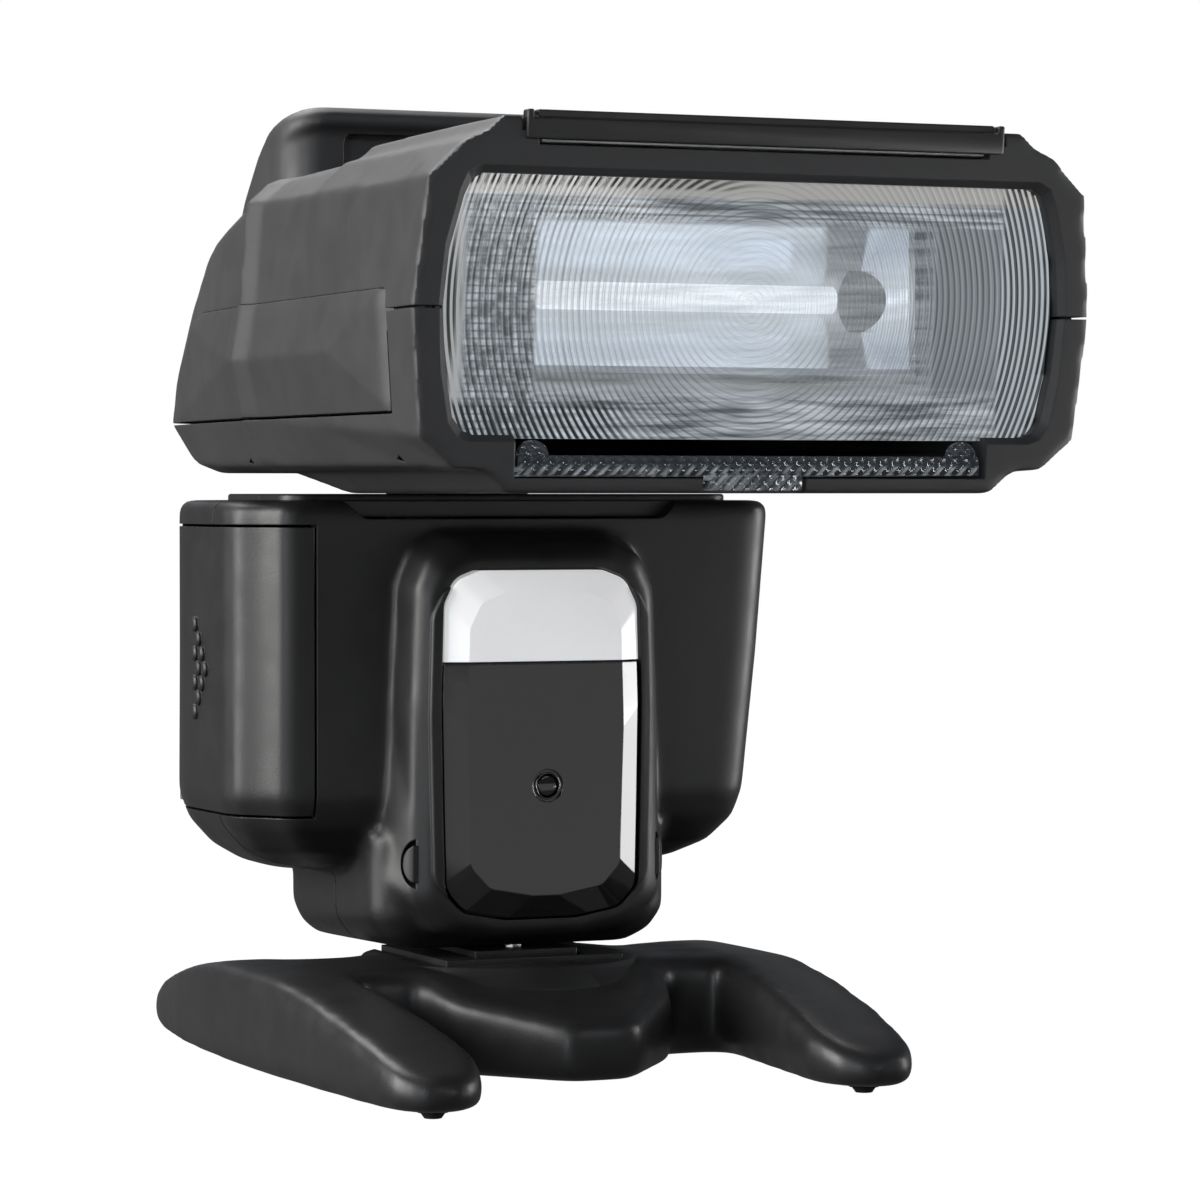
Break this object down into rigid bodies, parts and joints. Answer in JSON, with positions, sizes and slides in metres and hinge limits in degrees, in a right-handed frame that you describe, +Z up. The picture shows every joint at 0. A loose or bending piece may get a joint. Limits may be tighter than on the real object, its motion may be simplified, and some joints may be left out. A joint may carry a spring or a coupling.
{
  "type": "speedlight flash",
  "caption": "Shoe-mount photographic flash with a wide tilting lamp head, stepped body with battery door and front lamp window, seated on a low bow-tie table stand.",
  "frame": {"origin": "centre of the bottom of the object's bounding box, on the table plane", "axes": "+Z up, -Y the way the lamp head faces, +X to the right seen from the front"},
  "size_m": [0.073, 0.1102, 0.1042],
  "materials": {
    "head_plastic": "fine satin moulded grain, dark grey",
    "body_plastic": "fine satin moulded grain, near black",
    "stand_plastic": "satin moulded plastic, near black",
    "gloss_panel": "polished black plastic",
    "clear_plastic": "clear moulded acrylic with fine ring prisms",
    "white_lens": "milky white plastic, smooth",
    "white_card": "matt white card",
    "reflector_metal": "bright anodised aluminium mirror",
    "steel": "fine brushed",
    "brass": "turned",
    "rubber": "soft matt",
    "cell_wrap": "plain coloured sleeve",
    "circuit_board": "solder-masked laminate",
    "nylon": "natural nylon",
    "tube_glass": "clear quartz tube",
    "capacitor_sleeve": "shrink sleeve",
    "screen": "dark liquid-crystal screen"
  },
  "bodies": {
    "stand": {"stand_shell": "stand_plastic", "shoe_rails": "stand_plastic", "tripod_bush": "brass", "rubber_foot_front_left": "rubber", "rubber_foot_front_right": "rubber", "rubber_foot_rear_left": "rubber", "rubber_foot_rear_right": "rubber"},
    "body": {"body_front_shell": "body_plastic", "body_rear_shell": "body_plastic", "led_lens": "white_lens", "window_panel": "gloss_panel", "sensor_window": "gloss_panel", "led_board": "circuit_board", "battery_cell_1": "cell_wrap", "battery_cell_2": "cell_wrap", "battery_cell_3": "cell_wrap", "battery_cell_4": "cell_wrap", "battery_contacts": "steel", "main_board": "circuit_board", "rear_panel": "body_plastic", "display_module": "screen", "display_window": "clear_plastic", "shoe_foot": "body_plastic", "swivel_ring": "steel"},
    "door_slider": {"door_hinge_pin": "steel"},
    "door": {"battery_door": "body_plastic", "door_contact_plate": "steel"},
    "lock_pin": {"lock_pin": "steel"},
    "lock_left": {"lock_button_left": "body_plastic"},
    "lock_right": {"lock_button_right": "body_plastic"},
    "select_dial": {"select_dial": "body_plastic"},
    "set_button": {"set_button": "body_plastic"},
    "power_dial": {"power_dial": "body_plastic"},
    "test_button": {"test_button": "white_lens"},
    "mode_button": {"mode_button": "body_plastic"},
    "neck": {"neck": "body_plastic", "tilt_axle": "steel"},
    "head": {"head_upper_shell": "head_plastic", "head_lower_shell": "head_plastic", "side_insert_left": "head_plastic", "side_insert_right": "head_plastic", "fresnel_lens": "clear_plastic", "lens_frame": "body_plastic", "guide_rod_left": "steel", "guide_rod_right": "steel", "zoom_motor": "steel", "main_capacitor": "capacitor_sleeve", "trigger_board": "circuit_board"},
    "bounce_card": {"bounce_card": "white_card", "bounce_card_tab": "body_plastic"},
    "wide_panel": {"wide_panel": "clear_plastic"},
    "zoom_carriage": {"zoom_carriage": "nylon", "reflector": "reflector_metal", "flash_tube": "tube_glass"},
    "lead_screw": {"lead_screw": "steel"}
  },
  "joints": [
    {"name": "shoe_slide", "type": "slide", "parent": "stand", "child": "body", "axis": [0, 1, 0], "range_m": [0, 0.022]},
    {"name": "head_swivel", "type": "hinge", "parent": "body", "child": "neck", "pos_m": [0, 0.02532, 0.06], "axis": [0, 0, 1], "range_deg": [-180, 180]},
    {"name": "head_tilt", "type": "hinge", "parent": "neck", "child": "head", "pos_m": [0, 0.03082, 0.08], "axis": [-1, 0, 0], "range_deg": [0, 90]},
    {"name": "card_slide", "type": "slide", "parent": "head", "child": "bounce_card", "axis": [0, -1, 0], "range_m": [0, 0.026]},
    {"name": "panel_slide", "type": "slide", "parent": "head", "child": "wide_panel", "axis": [0, -1, 0], "range_m": [0, 0.034]},
    {"name": "zoom_slide", "type": "slide", "parent": "head", "child": "zoom_carriage", "axis": [0, 1, 0], "range_m": [0, 0.018]},
    {"name": "screw_spin", "type": "hinge", "parent": "head", "child": "lead_screw", "pos_m": [0.0272, -0.02318, 0.084], "axis": [0, 1, 0], "range_deg": [0, 1080]},
    {"name": "door_slide", "type": "slide", "parent": "body", "child": "door_slider", "axis": [0, -1, 0], "range_m": [0, 0.004]},
    {"name": "door_swing", "type": "hinge", "parent": "door_slider", "child": "door", "pos_m": [-0.0299, 0.03442, 0.0435], "axis": [0, 0, -1], "range_deg": [0, 100]},
    {"name": "lock_left_press", "type": "slide", "parent": "body", "child": "lock_left", "axis": [1, 0, 0], "range_m": [0, 0.0008], "stiffness_N_per_m": 300},
    {"name": "lock_right_press", "type": "slide", "parent": "body", "child": "lock_right", "axis": [-1, 0, 0], "range_m": [0, 0.0008], "stiffness_N_per_m": 300},
    {"name": "lock_pin_lift", "type": "slide", "parent": "body", "child": "lock_pin", "axis": [0, 0, 1], "range_m": [0, 0.0012], "stiffness_N_per_m": 300},
    {"name": "select_dial_turn", "type": "hinge", "parent": "body", "child": "select_dial", "pos_m": [0, 0.04582, 0.0342], "axis": [0, 1, 0], "continuous": true},
    {"name": "power_dial_turn", "type": "hinge", "parent": "body", "child": "power_dial", "pos_m": [-0.0136, 0.04582, 0.0342], "axis": [0, 1, 0], "range_deg": [-45, 45]},
    {"name": "set_press", "type": "slide", "parent": "body", "child": "set_button", "axis": [0, -1, 0], "range_m": [0, 0.0006], "stiffness_N_per_m": 300},
    {"name": "test_press", "type": "slide", "parent": "body", "child": "test_button", "axis": [0, -1, 0], "range_m": [0, 0.0006], "stiffness_N_per_m": 300},
    {"name": "mode_press", "type": "slide", "parent": "body", "child": "mode_button", "axis": [0, -1, 0], "range_m": [0, 0.0006], "stiffness_N_per_m": 300}
  ],
  "couplings": [
    {"joint": "screw_spin", "follows": "zoom_slide", "rad_per_m": 1047.2},
    {"joint": "lock_right_press", "follows": "lock_left_press", "ratio": 1},
    {"joint": "lock_pin_lift", "follows": "lock_left_press", "ratio": 1.5}
  ]
}
